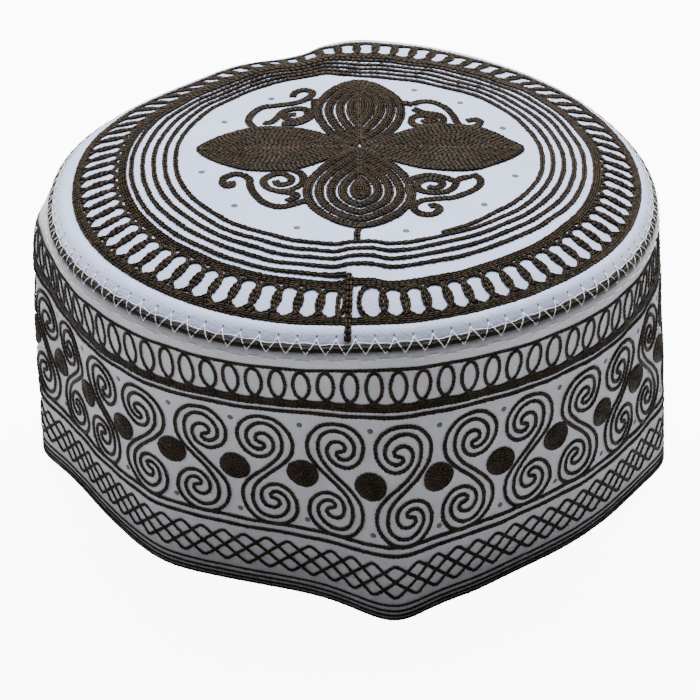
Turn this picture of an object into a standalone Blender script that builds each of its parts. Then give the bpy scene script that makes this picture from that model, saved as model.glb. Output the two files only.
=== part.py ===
"""Embroidered prayer cap: a domed round crown sewn to a folded side band.

Metres, +Z up. The cap rests on its rim on the plane z = 0, and the origin is
under the middle of its outline. -Y is the front, where the band's sharp fold is.
"""
import math

import bpy
import numpy as np

# Height levels of the band
SEAM_HEIGHT = 0.0884
FOLD_TOP = 0.0844
SHOULDER_START = 0.0764

# Plan sizes of the cloth's outer face
TOP_RADIUS = 0.0917
RIM_HALF_WIDTH = 0.0864
RIM_HALF_DEPTH = 0.0786
SHOULDER_DROP = 0.0018
RIM_GROWTH = 0.64

# Places the cap's axis so that the outline is centred on the origin
AXIS_X = 0.00329
AXIS_Y = -0.00038

# Crown dome
CROWN_HEIGHT = 0.0991
CROWN_DROP = 0.0114
CROWN_POWER = 6.2
CROWN_FLAT_RADIUS = 0.0883
CENTRE_SHIFT_Y = -0.0010

# Cloth and thread
CLOTH_THICKNESS = 0.0020
PIECE_GAP = 0.0003
SEAM_THREAD_RADIUS = 0.0007
RAISED_GAP = 0.0005
RAISED_THICKNESS = 0.0008

# Folds of the band: angle, half width, reach at the rim, growth towards the rim
FOLDS = (
    # degrees, degrees, metres, power
    (182.4, 5.6, 0.0128, 0.45),
    (228.8, 8.5, 0.0030, 0.76),
    (275.9, 6.3, 0.0136, 0.90),
    (352.6, 7.4, 0.0068, 1.00),
    (50.0, 10.0, 0.0022, 0.80),
    (97.0, 6.5, 0.0105, 0.80),
    (136.0, 8.0, 0.0022, 0.80),
)

# Soft swells of the band near the seam: angle and reach at the top
SWELL_HALF_WIDTH = 18.0
SWELLS = (
    # degrees, metres
    (30.0, -0.0026),
    (90.0, 0.0011),
    (150.0, 0.0008),
    (184.0, -0.0003),
    (212.0, 0.0015),
    (240.0, 0.0020),
    (278.0, -0.0020),
    (310.0, -0.0006),
    (350.0, -0.0030),
)

# Waves of the crown's edge and the seam: angle and rise
EDGE_HALF_WIDTH = 45.0
EDGE_WAVES = (
    # degrees, metres
    (0.0, -0.0007),
    (45.0, 0.0012),
    (90.0, 0.0008),
    (135.0, -0.0013),
    (180.0, -0.0012),
    (225.0, 0.0019),
    (270.0, -0.0004),
    (315.0, 0.0006),
)
EDGE_GROWTH = 8.0

# Ridge where the crown was folded in half, from back to front
RIDGE_BACK_X = -0.0070
RIDGE_FRONT_X = 0.0000
RIDGE_LEFT_WIDTH = 0.0140
RIDGE_LEFT_SPREAD = 0.0110
RIDGE_RIGHT_WIDTH = 0.0065
RIDGE_RIGHT_SPREAD = 0.0500
RIDGE_FRONT_RISE = 0.0006
RIDGE_MIDDLE_RISE = 0.0005
RIDGE_BACK_RISE = 0.0026

# Mesh rows
COLUMNS = 88
BAND_LEVELS = (0.0, 0.010, 0.026, 0.044, 0.060, 0.072, 0.080, 0.0845, SEAM_HEIGHT)
CROWN_ROWS = (0.14, 0.32, 0.50, 0.64, 0.74, 0.81, 0.87, 0.92, 0.965, 1.0)

# Raised needlework of the crown, in the flat cloth's own plan
FLOWER_Y = 0.0050
PETALS = (
    # name, direction in degrees, length, half width, place of the widest point
    ("petal_right", 0.0, 0.0478, 0.0142, 1.15),
    ("petal_back", 90.0, 0.0408, 0.0132, 1.10),
    ("petal_left", 180.0, 0.0470, 0.0144, 1.15),
    ("petal_front", 270.0, 0.0450, 0.0150, 1.20),
)
PETAL_ROOT = 0.16
PETAL_ROUNDNESS = 0.75
PETAL_ROWS = 11
PETAL_ACROSS = (-1.0, -0.5, 0.0, 0.5, 1.0)
LADDER_INNER = 0.0690
LADDER_OUTER = 0.0824
LADDER_ROWS = 4

# Surface colours: linear RGB and roughness
CLOTH_COLOUR = (0.66, 0.68, 0.74)
CLOTH_ROUGHNESS = 0.75
THREAD_COLOUR = (0.032, 0.026, 0.020)
THREAD_ROUGHNESS = 0.6


def clear_scene():
    for item in list(bpy.data.objects):
        bpy.data.objects.remove(item, do_unlink=True)


def make_material(name, colour, roughness):
    material = bpy.data.materials.new(name)
    material.use_nodes = True
    shader = material.node_tree.nodes["Principled BSDF"]
    shader.inputs["Base Color"].default_value = (*colour, 1.0)
    shader.inputs["Roughness"].default_value = roughness
    shader.inputs["Metallic"].default_value = 0.0
    return material


def turn_between(angle, middle):
    """Signed difference of two angles in degrees, within half a turn."""
    return (angle - middle + 180.0) % 360.0 - 180.0


def fold_bump(offset):
    """A fold's section: a soft ridge with long slopes."""
    return np.exp(1.0 - np.sqrt(1.0 + offset * offset))


def band_radius(angle, z):
    """Plan radius of the band's outer face, at an angle in degrees and a height."""
    low = np.clip(1.0 - z / FOLD_TOP, 0.0, 1.0)
    across = np.cos(np.radians(angle)) / RIM_HALF_WIDTH
    along = np.sin(np.radians(angle)) / RIM_HALF_DEPTH
    rim = 1.0 / np.sqrt(across ** 2 + along ** 2)
    radius = TOP_RADIUS + (rim - TOP_RADIUS) * low ** RIM_GROWTH
    for middle, width, reach, growth in FOLDS:
        radius = radius + reach * fold_bump(turn_between(angle, middle) / width) * low ** growth
    for middle, reach in SWELLS:
        swell = np.exp(-0.5 * (turn_between(angle, middle) / SWELL_HALF_WIDTH) ** 2)
        radius = radius + reach * swell * (1.0 - low) ** 2
    roll = np.clip((z - SHOULDER_START) / (SEAM_HEIGHT - SHOULDER_START), 0.0, 1.0)
    return radius - SHOULDER_DROP * roll ** 2


def edge_rise(angle):
    """Rise of the crown's edge above its mean height."""
    rise = 0.0
    for middle, reach in EDGE_WAVES:
        share = np.clip(np.abs(turn_between(angle, middle)) / EDGE_HALF_WIDTH, 0.0, 1.0)
        rise = rise + reach * 0.5 * (1.0 + np.cos(math.pi * share))
    return rise


def ridge_rise(x, y):
    """Height of the crown's old fold line above the dome."""
    back = np.clip(y / TOP_RADIUS * 0.5 + 0.5, 0.0, 1.0)
    middle_x = RIDGE_FRONT_X + (RIDGE_BACK_X - RIDGE_FRONT_X) * back
    left_width = RIDGE_LEFT_WIDTH + RIDGE_LEFT_SPREAD * back
    right_width = RIDGE_RIGHT_WIDTH + RIDGE_RIGHT_SPREAD * back ** 2
    width = np.where(x < middle_x, left_width, right_width)
    end_rise = np.where(y < 0.0, RIDGE_FRONT_RISE, RIDGE_BACK_RISE)
    share = np.clip(np.abs(y) / TOP_RADIUS, 0.0, 1.0)
    rise = RIDGE_MIDDLE_RISE + (end_rise - RIDGE_MIDDLE_RISE) * share ** 1.5
    return rise * fold_bump((x - middle_x) / width)


def band_point(angle, z):
    """A point of the band's outer face, whose top follows the crown's edge."""
    turn = np.radians(angle)
    radius = band_radius(angle, z)
    top = band_radius(angle, SEAM_HEIGHT)
    rise = edge_rise(angle) + ridge_rise(top * np.cos(turn), top * np.sin(turn))
    rise = rise + CROWN_HEIGHT - CROWN_DROP - SEAM_HEIGHT
    height = z + rise * np.clip(z / SEAM_HEIGHT, 0.0, None) ** EDGE_GROWTH
    return np.array((AXIS_X + radius * np.cos(turn), AXIS_Y + radius * np.sin(turn), height))


def crown_face(flat_x, flat_y):
    """The crown's outer face above a point of the flat cloth."""
    share = np.hypot(flat_x, flat_y) / CROWN_FLAT_RADIUS
    angle = np.degrees(np.arctan2(flat_y, flat_x))
    stretch = 1.0 + (band_radius(angle, SEAM_HEIGHT) / CROWN_FLAT_RADIUS - 1.0) * share ** 3
    x = flat_x * stretch
    y = flat_y * stretch + CENTRE_SHIFT_Y * (1.0 - share ** 2)
    z = CROWN_HEIGHT - CROWN_DROP * share ** CROWN_POWER
    z = z + edge_rise(angle) * share ** 2 + ridge_rise(x, y)
    return np.array((AXIS_X + x, AXIS_Y + y, z))


def crown_point(flat_x, flat_y, lift=0.0):
    """The crown's outer face, raised by lift along its own normal."""
    point = crown_face(flat_x, flat_y)
    if lift == 0.0:
        return point
    step = 0.0006
    along_x = crown_face(flat_x + step, flat_y) - crown_face(flat_x - step, flat_y)
    along_y = crown_face(flat_x, flat_y + step) - crown_face(flat_x, flat_y - step)
    normal = np.cross(along_x, along_y)
    return point + lift * normal / np.linalg.norm(normal)


def column_angles():
    """Angles of the mesh columns, closer together at the sharp folds."""
    fine = np.linspace(0.0, 360.0, 1441)
    density = np.ones_like(fine)
    for middle, width, reach, growth in FOLDS:
        sharpness = 450.0 * reach / width
        density = density + sharpness * np.exp(-(turn_between(fine, middle) / (2.0 * width)) ** 2)
    steps = np.concatenate(([0.0], np.cumsum((density[1:] + density[:-1]) / 2.0)))
    places = np.linspace(0.0, steps[-1], COLUMNS + 1)[:-1]
    return np.interp(places, steps, fine)


def mesh_object(name, points, faces, material):
    mesh = bpy.data.meshes.new(name)
    mesh.from_pydata([tuple(p) for p in points], [], faces)
    mesh.validate()
    mesh.materials.append(material)
    mesh.shade_smooth()
    mesh.set_sharp_from_angle(angle=math.radians(40.0))
    item = bpy.data.objects.new(name, mesh)
    bpy.context.scene.collection.objects.link(item)
    return item


def ring_faces(rows, columns, first=0):
    """Triangles between closed rings, where the last ring joins the first."""
    faces = []
    for row in range(rows):
        here = first + row * columns
        there = first + ((row + 1) % rows) * columns
        for column in range(columns):
            beside = (column + 1) % columns
            faces.append((here + column, here + beside, there + beside))
            faces.append((here + column, there + beside, there + column))
    return faces


def outward_normal(surface, first, second, step):
    """Unit normal of a surface of two numbers, by small steps."""
    along_first = surface(first + step[0], second) - surface(first - step[0], second)
    along_second = surface(first, second + step[1]) - surface(first, second - step[1])
    normal = np.cross(along_first, along_second)
    return normal / np.linalg.norm(normal)


def mitre(angle):
    """Inner edge of the seam's mitre, below and inside the seam line."""
    edge = band_point(angle, SEAM_HEIGHT)
    turn = math.radians(angle)
    inward = CLOTH_THICKNESS * 0.87
    down = CLOTH_THICKNESS * 0.58
    return edge + np.array((-inward * math.cos(turn), -inward * math.sin(turn), -down))


def make_band(angles, material):
    """The side wall: one cloth wall with the folds, flat at the rim."""
    points = []
    for z in BAND_LEVELS:
        points += [band_point(angle, z) for angle in angles]
    gap_down = np.array((0.0, 0.0, -PIECE_GAP))
    outer_top = len(points) - COLUMNS
    for column in range(COLUMNS):
        points[outer_top + column] = points[outer_top + column] + gap_down
    points += [mitre(angle) + gap_down for angle in angles]
    for z in reversed(BAND_LEVELS[:-1]):
        for angle in angles:
            normal = outward_normal(band_point, angle, max(z, 0.002), (0.2, 0.001))
            inner = band_point(angle, z) - CLOTH_THICKNESS * normal
            if z == 0.0:
                inner[2] = 0.0
            points.append(inner)
    rows = 2 * len(BAND_LEVELS)
    return mesh_object("band", points, ring_faces(rows, COLUMNS), material)


def make_crown(angles, material):
    """The domed disc: outer face, mitred edge and inner face."""
    def flat(angle, share):
        reach = share * CROWN_FLAT_RADIUS
        turn = math.radians(angle)
        return reach * math.cos(turn), reach * math.sin(turn)

    points = [crown_point(0.0, 0.0)]
    for share in CROWN_ROWS[:-1]:
        points += [crown_point(*flat(angle, share)) for angle in angles]
    points += [band_point(angle, SEAM_HEIGHT) for angle in angles]
    points += [mitre(angle) for angle in angles]
    for share in reversed(CROWN_ROWS[:-1]):
        points += [crown_point(*flat(angle, share), -CLOTH_THICKNESS) for angle in angles]
    points.append(crown_point(0.0, 0.0, -CLOTH_THICKNESS))
    rows = 2 * len(CROWN_ROWS)
    faces = []
    for column in range(COLUMNS):
        faces.append((0, 1 + column, 1 + (column + 1) % COLUMNS))
    for low, high, over in ring_faces(rows, COLUMNS, 1)[:-2 * COLUMNS]:
        faces.append((high, low, over))
    last = 1 + (rows - 1) * COLUMNS
    for column in range(COLUMNS):
        faces.append((len(points) - 1, last + (column + 1) % COLUMNS, last + column))
    return mesh_object("crown", points, faces, material)


def make_seam_thread(angles, material):
    """The joining thread, which lies in the notch of the seam."""
    points = []
    sides = 6
    stand = SEAM_THREAD_RADIUS + PIECE_GAP
    for side in range(sides):
        around = 2.0 * math.pi * side / sides
        for angle in angles:
            turn = math.radians(angle)
            out = np.array((math.cos(turn), math.sin(turn), 0.0))
            centre = band_point(angle, SEAM_HEIGHT) + out * stand * 0.83
            centre = centre + np.array((0.0, 0.0, stand * 0.56))
            shift = out * math.cos(around) * SEAM_THREAD_RADIUS
            shift = shift + np.array((0.0, 0.0, math.sin(around) * SEAM_THREAD_RADIUS))
            points.append(centre + shift)
    return mesh_object("seam_thread", points, ring_faces(sides, COLUMNS), material)


def make_ladder_ring(angles, material):
    """The raised embroidered ring on the crown's shoulder."""
    reaches = np.linspace(LADDER_INNER, LADDER_OUTER, LADDER_ROWS)
    points = []
    for reach in reaches[::-1]:
        for angle in angles:
            turn = math.radians(angle)
            x, y = reach * math.cos(turn), reach * math.sin(turn)
            points.append(crown_point(x, y, RAISED_GAP + RAISED_THICKNESS))
    for reach in reaches:
        for angle in angles:
            turn = math.radians(angle)
            x, y = reach * math.cos(turn), reach * math.sin(turn)
            points.append(crown_point(x, y, RAISED_GAP))
    return mesh_object("ladder_ring", points, ring_faces(2 * LADDER_ROWS, COLUMNS), material)


def petal_half_width(share, half_width, skew):
    return half_width * math.sin(math.pi * share ** skew) ** PETAL_ROUNDNESS


def make_petal(name, direction, length, half_width, skew, material):
    """One raised petal: a leaf outline laid on the crown."""
    turn = math.radians(direction)
    forward = np.array((math.cos(turn), math.sin(turn)))
    left = np.array((-forward[1], forward[0]))
    shares = np.linspace(PETAL_ROOT, 0.985, PETAL_ROWS)
    across = len(PETAL_ACROSS)
    points = []
    for lift in (RAISED_GAP, RAISED_GAP + RAISED_THICKNESS):
        for share in shares:
            width = petal_half_width(share, half_width, skew)
            for side in PETAL_ACROSS:
                flat = np.array((0.0, FLOWER_Y)) + forward * share * length + left * side * width
                points.append(crown_point(flat[0], flat[1], lift))
    faces = []
    top = PETAL_ROWS * across
    for row in range(PETAL_ROWS - 1):
        for column in range(across - 1):
            a = row * across + column
            b = a + across
            faces += [(a, a + 1, b + 1), (a, b + 1, b)]
            faces += [(top + a, top + b + 1, top + a + 1), (top + a, top + b, top + b + 1)]
    border = [row * across for row in range(PETAL_ROWS)]
    border += [(PETAL_ROWS - 1) * across + column for column in range(1, across)]
    border += [row * across + across - 1 for row in range(PETAL_ROWS - 2, -1, -1)]
    border += [column for column in range(across - 2, 0, -1)]
    for here, there in zip(border, border[1:] + border[:1]):
        faces += [(here, there, top + there), (here, top + there, top + here)]
    return mesh_object(name, points, faces, material)


def build():
    clear_scene()
    angles = column_angles()
    make_band(angles, make_material("band_cloth", CLOTH_COLOUR, CLOTH_ROUGHNESS))
    make_crown(angles, make_material("crown_cloth", CLOTH_COLOUR, CLOTH_ROUGHNESS))
    make_seam_thread(angles, make_material("seam_thread", THREAD_COLOUR, THREAD_ROUGHNESS))
    make_ladder_ring(angles, make_material("ladder_thread", THREAD_COLOUR, THREAD_ROUGHNESS))
    for name, direction, length, half_width, skew in PETALS:
        material = make_material(name + "_thread", THREAD_COLOUR, THREAD_ROUGHNESS)
        make_petal(name, direction, length, half_width, skew, material)


build()
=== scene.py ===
"""Looks of the embroidered prayer cap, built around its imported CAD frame.

The cloth is made as fine shells, and the needlework is laid on it stitch by stitch.
Shapes are worked out in millimetres and turned to metres where a mesh is made.
"""
import math

import bpy
import numpy as np
from mathutils import Matrix, Vector


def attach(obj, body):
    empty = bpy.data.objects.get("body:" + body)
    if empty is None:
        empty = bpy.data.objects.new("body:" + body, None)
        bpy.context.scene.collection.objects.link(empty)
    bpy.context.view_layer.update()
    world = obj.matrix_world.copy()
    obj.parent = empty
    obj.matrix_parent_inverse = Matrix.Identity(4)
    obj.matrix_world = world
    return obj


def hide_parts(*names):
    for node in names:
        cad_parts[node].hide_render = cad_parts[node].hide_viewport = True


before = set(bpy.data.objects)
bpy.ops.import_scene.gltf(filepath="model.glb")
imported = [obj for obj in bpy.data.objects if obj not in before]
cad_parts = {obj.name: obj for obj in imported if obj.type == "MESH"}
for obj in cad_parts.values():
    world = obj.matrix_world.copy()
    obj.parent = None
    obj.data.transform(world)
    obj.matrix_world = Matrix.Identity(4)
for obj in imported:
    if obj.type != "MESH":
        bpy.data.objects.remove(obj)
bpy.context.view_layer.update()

MM = 0.001

# Height levels of the band, in mm
SEAM_HEIGHT = 88.4
FOLD_TOP = 84.4
SHOULDER_START = 76.4

# Plan sizes of the cloth's outer face, in mm
TOP_RADIUS = 91.7
RIM_HALF_WIDTH = 86.4
RIM_HALF_DEPTH = 78.6
SHOULDER_DROP = 1.8
RIM_GROWTH = 0.64
AXIS_X = 3.29
AXIS_Y = -0.38

# Crown dome, in mm
CROWN_HEIGHT = 99.1
CROWN_DROP = 11.4
CROWN_POWER = 6.2
CROWN_FLAT_RADIUS = 88.3
CENTRE_SHIFT_Y = -1.0

# Folds of the band: angle, half width, reach at the rim, growth towards the rim
FOLDS = (
    # degrees, degrees, mm, power
    (182.4, 6.2, 11.2, 0.34),
    (228.8, 8.5, 3.9, 0.76),
    (275.9, 6.3, 13.8, 0.90),
    (291.5, 7.0, 3.4, 0.90),
    (352.6, 6.4, 7.0, 1.10),
    (50.0, 10.0, 2.2, 0.80),
    (97.0, 6.5, 10.5, 0.80),
    (136.0, 8.0, 2.2, 0.80),
)

# Soft swells of the band near the seam: angle and reach at the top
SWELL_HALF_WIDTH = 18.0
SWELLS = (
    # degrees, mm
    (30.0, -4.0),
    (90.0, 1.1),
    (150.0, 0.4),
    (184.0, -0.7),
    (212.0, 1.5),
    (240.0, 2.0),
    (278.0, -2.0),
    (310.0, -0.6),
    (350.0, -3.7),
)

# Waves of the crown's edge and the seam: angle and rise
EDGE_HALF_WIDTH = 45.0
EDGE_WAVES = (
    # degrees, mm
    (0.0, -1.2),
    (45.0, 1.4),
    (90.0, 3.1),
    (135.0, -2.6),
    (180.0, -0.6),
    (225.0, 1.1),
    (270.0, -0.4),
    (315.0, 1.5),
)
EDGE_GROWTH = 8.0
# Sag of the band's cloth on the left of the front, in degrees and mm: heights and shares
SAG_ANGLE = 214.0
SAG_HALF_WIDTH = 50.0
SAG_DROP = 1.6
SAG_HEIGHTS = (28.0, 43.0, 55.0, 68.0, 81.0, 88.4)
SAG_SHARES = (0.0, 0.5, 1.0, 1.0, 0.35, 0.0)
# Dip of the crown's edge at the back, in degrees and mm
DIP_ANGLE = 104.0
DIP_HALF_WIDTH = 16.0
DIP_RISE = -2.8

# Hollow of the crown behind the flower, and the swell beside it: degrees, mm,
# and the share of the reach where they start
HOLLOW_ANGLES = (0.0, 45.0, 75.0, 90.0, 100.0, 112.0, 135.0, 160.0, 190.0)
HOLLOW_DEPTHS = (0.0, 1.0, 1.9, 2.1, 0.4, -0.3, -0.4, -0.4, 0.0)
HOLLOW_FROM = 0.42

# Ridge where the crown was folded in half, from back to front, in mm
RIDGE_BACK_X = -12.3
RIDGE_LEFT_WIDTH = 14.0
RIDGE_LEFT_SPREAD = -12.5
RIDGE_RIGHT_WIDTH = 6.5
RIDGE_RIGHT_SPREAD = 14.0
RIDGE_FRONT_RISE = 0.6
RIDGE_MIDDLE_RISE = 0.5
RIDGE_BACK_RISE = 1.4
RIDGE_POWER = 1.5


# Cap surface

def turn_between(angle, middle):
    """Signed difference of two angles in degrees, within half a turn."""
    return (angle - middle + 180.0) % 360.0 - 180.0


def fold_bump(offset):
    """A fold's section: a soft ridge with long slopes."""
    return np.exp(1.0 - np.sqrt(1.0 + offset * offset))


def wave_bump(angle, middle, half_width):
    """A round bump that is one at its middle and ends at its half width."""
    share = np.clip(np.abs(turn_between(angle, middle)) / half_width, 0.0, 1.0)
    return 0.5 * (1.0 + np.cos(math.pi * share))


def band_radius(angle, z):
    """Plan radius of the band's outer face, at an angle in degrees and a height."""
    low = np.clip(1.0 - z / FOLD_TOP, 0.0, 1.0)
    across = np.cos(np.radians(angle)) / RIM_HALF_WIDTH
    along = np.sin(np.radians(angle)) / RIM_HALF_DEPTH
    rim = 1.0 / np.sqrt(across ** 2 + along ** 2)
    radius = TOP_RADIUS + (rim - TOP_RADIUS) * low ** RIM_GROWTH
    for middle, width, reach, growth in FOLDS:
        bump = fold_bump(turn_between(angle, middle) / width)
        radius = radius + reach * bump * low ** growth
    for middle, reach in SWELLS:
        swell = np.exp(-0.5 * (turn_between(angle, middle) / SWELL_HALF_WIDTH) ** 2)
        radius = radius + reach * swell * (1.0 - low) ** 2
    roll = np.clip((z - SHOULDER_START) / (SEAM_HEIGHT - SHOULDER_START), 0.0, 1.0)
    return radius - SHOULDER_DROP * roll ** 2


def edge_rise(angle):
    """Rise of the crown's edge above its mean height."""
    rise = 0.0
    for middle, reach in EDGE_WAVES:
        rise = rise + reach * wave_bump(angle, middle, EDGE_HALF_WIDTH)
    return rise + DIP_RISE * wave_bump(angle, DIP_ANGLE, DIP_HALF_WIDTH)


def ridge_rise(x, y):
    """Height of the crown's old fold line above the dome."""
    back = np.clip(y / TOP_RADIUS * 0.5 + 0.5, 0.0, 1.0)
    middle_x = RIDGE_BACK_X * back
    left_width = RIDGE_LEFT_WIDTH + RIDGE_LEFT_SPREAD * back
    right_width = RIDGE_RIGHT_WIDTH + RIDGE_RIGHT_SPREAD * back ** 2
    width = np.where(x < middle_x, left_width, right_width)
    end_rise = np.where(y < 0.0, RIDGE_FRONT_RISE, RIDGE_BACK_RISE)
    share = np.clip(np.abs(y) / TOP_RADIUS, 0.0, 1.0)
    rise = RIDGE_MIDDLE_RISE + (end_rise - RIDGE_MIDDLE_RISE) * share ** RIDGE_POWER
    return rise * fold_bump((x - middle_x) / width)


def band_face(angle, z):
    """Points of the band's outer face, whose top follows the crown's edge."""
    turn = np.radians(angle)
    radius = band_radius(angle, z)
    top = band_radius(angle, SEAM_HEIGHT)
    rise = edge_rise(angle) + ridge_rise(top * np.cos(turn), top * np.sin(turn))
    rise = rise + CROWN_HEIGHT - CROWN_DROP - SEAM_HEIGHT
    height = z + rise * np.clip(z / SEAM_HEIGHT, 0.0, None) ** EDGE_GROWTH
    sag = SAG_DROP * wave_bump(angle, SAG_ANGLE, SAG_HALF_WIDTH)
    height = height - sag * np.interp(z, SAG_HEIGHTS, SAG_SHARES)
    return np.stack((AXIS_X + radius * np.cos(turn), AXIS_Y + radius * np.sin(turn), height), -1)


def crown_face(x, y):
    """Points of the crown's outer face above points of the flat cloth."""
    share = np.hypot(x, y) / CROWN_FLAT_RADIUS
    angle = np.degrees(np.arctan2(y, x))
    stretch = 1.0 + (band_radius(angle, SEAM_HEIGHT) / CROWN_FLAT_RADIUS - 1.0) * share ** 3
    plan_x = x * stretch
    plan_y = y * stretch + CENTRE_SHIFT_Y * (1.0 - share ** 2)
    z = CROWN_HEIGHT - CROWN_DROP * share ** CROWN_POWER
    hollow = np.sin(math.pi * np.clip((share - HOLLOW_FROM) / (1.0 - HOLLOW_FROM), 0.0, 1.0))
    z = z - hollow * np.interp(angle % 360.0, HOLLOW_ANGLES, HOLLOW_DEPTHS)
    z = z + edge_rise(angle) * share ** 2 + ridge_rise(plan_x, plan_y)
    return np.stack((AXIS_X + plan_x, AXIS_Y + plan_y, z), -1)


# Cloth pattern on the cap

# The band is one strip of cloth: its length, and the angle where its middle lies
STRIP_LENGTH = 556.0
STRIP_MIDDLE = 276.0
STRIP_LEVELS = np.linspace(0.0, SEAM_HEIGHT, 12)
STRIP_TURN = np.linspace(0.0, 360.0, 721)

# Crease of the crown near the front, in mm: where it runs, and its rise
CREASE_X = 0.6
CREASE_HALF_WIDTH = 5.6
CREASE_RISE = 1.1
CREASE_START_Y = -42.0
CREASE_FULL_Y = -52.0
CREASE_FADE_Y = -72.0
CREASE_END_Y = -80.0

# Padding of the plain strips on both sides of the seam, in mm
BAND_PAD = 0.9
BAND_PAD_LOW = 81.8
CROWN_PAD = 1.3
CROWN_PAD_INNER = 82.8
PAD_POWER = 1.3

# Small puckers of the cloth, in mm, and where they fade out
PUCKER = 0.12
PUCKER_RIM_FADE = 20.0
PUCKER_SEAM_FADE = 8.0
PUCKER_CROWN_FADE = 10.0
# Whole numbers of puckers and of longer waves round the band, and how both slant as they rise
PUCKERS_ROUND = 36
PUCKER_SWAY = 1.3
PUCKER_SWAY_RATE = 0.13
WAVES_ROUND = 20
WAVE_SLANT = 0.31
# The same on the crown, for each mm across and along it
CROWN_PUCKER_RATE = 0.37
CROWN_PUCKER_SWAY = 1.2
CROWN_SWAY_RATE = 0.17
CROWN_WAVE_RATE = 0.29
CROWN_WAVE_SLANT = 0.11
# Step of the small moves that give a face's normals
NORMAL_STEP = 0.3


def unit(vectors):
    """Vectors scaled to length one."""
    return vectors / np.linalg.norm(vectors, axis=1)[:, None]


def passed_lengths(points):
    """Length passed along a line at each of its points."""
    steps = np.linalg.norm(np.diff(points, axis=0), axis=1)
    return np.concatenate(([0.0], np.cumsum(steps)))


def points_at(places, passed, points):
    """Points of a line at given lengths along it."""
    return np.stack([np.interp(places, passed, column) for column in points.T], -1)


def strip_shares():
    """Share of the strip's length passed at each angle, for each level."""
    shares = []
    for level in STRIP_LEVELS:
        passed = passed_lengths(band_face(STRIP_MIDDLE + STRIP_TURN, level + 0.0 * STRIP_TURN))
        shares.append(passed / passed[-1])
    return shares


STRIP_SHARES = strip_shares()

# The pattern's drift towards the front fold, as a share of the distance from it
DRIFT_SHARE = 0.028
DRIFT_FULL = 80.0
DRIFT_END = 200.0
DRIFT_HEIGHTS = (0.0, 30.0, 52.0, 66.0, 71.0, 88.0)
DRIFT_LEFT = (0.0, 0.0, 0.8, 0.8, 0.6, 0.4)
DRIFT_RIGHT = (-0.4, -0.4, 1.0, 1.0, 0.0, 0.0)


def pattern_drift(along, z):
    """How far the pattern lies from its even place on the strip."""
    side = (along + STRIP_LENGTH / 2.0) % STRIP_LENGTH - STRIP_LENGTH / 2.0
    left = np.interp(z, DRIFT_HEIGHTS, DRIFT_LEFT)
    right = np.interp(z, DRIFT_HEIGHTS, DRIFT_RIGHT)
    near = np.clip((DRIFT_END - np.abs(side)) / (DRIFT_END - DRIFT_FULL), 0.0, 1.0)
    return -DRIFT_SHARE * side * near * np.where(side < 0.0, left, right)


def strip_angle(along, z):
    """Angle on the cap of points of the band's strip."""
    share = ((along + pattern_drift(along, z)) / STRIP_LENGTH) % 1.0
    place = np.clip(z / SEAM_HEIGHT, 0.0, 1.0) * (len(STRIP_LEVELS) - 1)
    lower = np.minimum(place.astype(int), len(STRIP_LEVELS) - 2)
    angles = np.stack([np.interp(share, shares, STRIP_TURN) for shares in STRIP_SHARES])
    index = np.arange(share.size)
    below = angles[lower, index]
    above = angles[lower + 1, index]
    return STRIP_MIDDLE + below + (above - below) * (place - lower)


def crease_rise(x, y):
    """Rise of the narrow crease in the crown's front."""
    across = np.exp(-((x - CREASE_X) / CREASE_HALF_WIDTH) ** 4)
    places = (CREASE_END_Y, CREASE_FADE_Y, CREASE_FULL_Y, CREASE_START_Y)
    return CREASE_RISE * across * np.interp(y, places, (0.0, 1.0, 1.0, 0.0))


def pad_section(share):
    """Section of a padded strip between two seams."""
    return np.sin(math.pi * np.clip(share, 0.0, 1.0)) ** PAD_POWER


def paired(first, second):
    """Two values or lists of them as two equally long lists."""
    return np.broadcast_arrays(*(np.atleast_1d(np.asarray(part, float)) for part in (first, second)))


def outward_of(points):
    """Level directions away from the cap's axis."""
    away = unit(points[:, :2] - np.array((AXIS_X, AXIS_Y)))
    return np.hstack((away, np.zeros((len(away), 1))))


def strip_face(along, z):
    """Outer face of the band's cloth, with its padding and puckers."""
    along, z = paired(along, z)
    points = band_face(strip_angle(along, z), z)
    lift = BAND_PAD * pad_section((z - BAND_PAD_LOW) / (SEAM_HEIGHT - BAND_PAD_LOW))
    turn = 2.0 * math.pi * along / STRIP_LENGTH
    wave = np.sin(PUCKERS_ROUND * turn + PUCKER_SWAY * np.sin(z * PUCKER_SWAY_RATE))
    wave = wave + np.sin(WAVES_ROUND * turn - z * WAVE_SLANT)
    over_rim = np.clip(z / PUCKER_RIM_FADE, 0.0, 1.0)
    under_seam = np.clip((SEAM_HEIGHT - z) / PUCKER_SEAM_FADE, 0.0, 1.0)
    lift = lift + PUCKER * wave * over_rim * under_seam
    return points + outward_of(points) * lift[:, None]


def disc_face(x, y):
    """Outer face of the crown's cloth, with its padding and puckers."""
    x, y = paired(x, y)
    points = crown_face(x, y)
    reach = np.hypot(x, y)
    lift = CROWN_PAD * pad_section((reach - CROWN_PAD_INNER) / (CROWN_FLAT_RADIUS - CROWN_PAD_INNER))
    wave = np.sin(x * CROWN_PUCKER_RATE + CROWN_PUCKER_SWAY * np.sin(y * CROWN_SWAY_RATE))
    wave = wave + np.sin(y * CROWN_WAVE_RATE - x * CROWN_WAVE_SLANT)
    lift = lift + PUCKER * wave * np.clip((CROWN_FLAT_RADIUS - reach) / PUCKER_CROWN_FADE, 0.0, 1.0)
    points[:, 2] += lift + crease_rise(x, y)
    return points


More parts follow.
